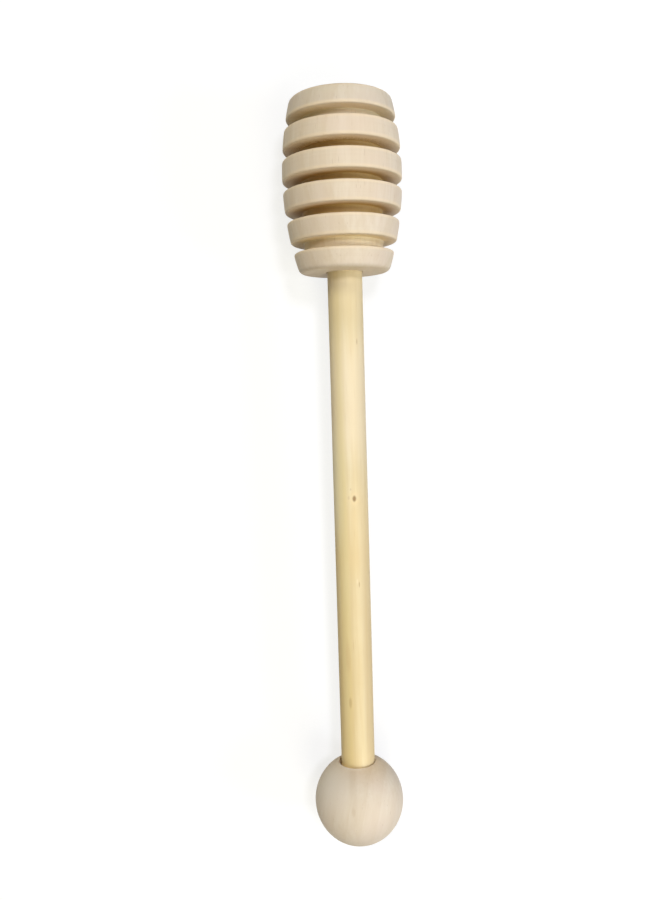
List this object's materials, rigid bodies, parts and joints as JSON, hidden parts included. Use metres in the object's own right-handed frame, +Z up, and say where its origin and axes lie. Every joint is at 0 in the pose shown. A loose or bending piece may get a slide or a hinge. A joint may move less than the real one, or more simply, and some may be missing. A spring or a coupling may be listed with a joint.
{
  "type": "honey dipper",
  "caption": "Turned wooden honey dipper: a grooved barrel-shaped head and a ball knob glued onto the two ends of a straight round dowel, for lifting and drizzling honey.",
  "frame": {"origin": "on the table, under the middle of the dipper's bounding box as it lies on its side", "axes": "+Y from the ball to the head, +Z up from the table; the turning axis falls a little towards the ball, because the head is thicker than the ball and both touch the table"},
  "size_m": [0.025, 0.1602, 0.025],
  "materials": {
    "head_wood": "bare fine-sanded",
    "dowel_wood": "bare fine-sanded",
    "knob_wood": "bare fine-sanded",
    "glue": "cured wood glue"
  },
  "bodies": {
    "root": {"dipper_head": "head_wood", "handle_dowel": "dowel_wood", "ball_knob": "knob_wood", "head_glue": "glue", "knob_glue": "glue"}
  },
  "joints": []
}
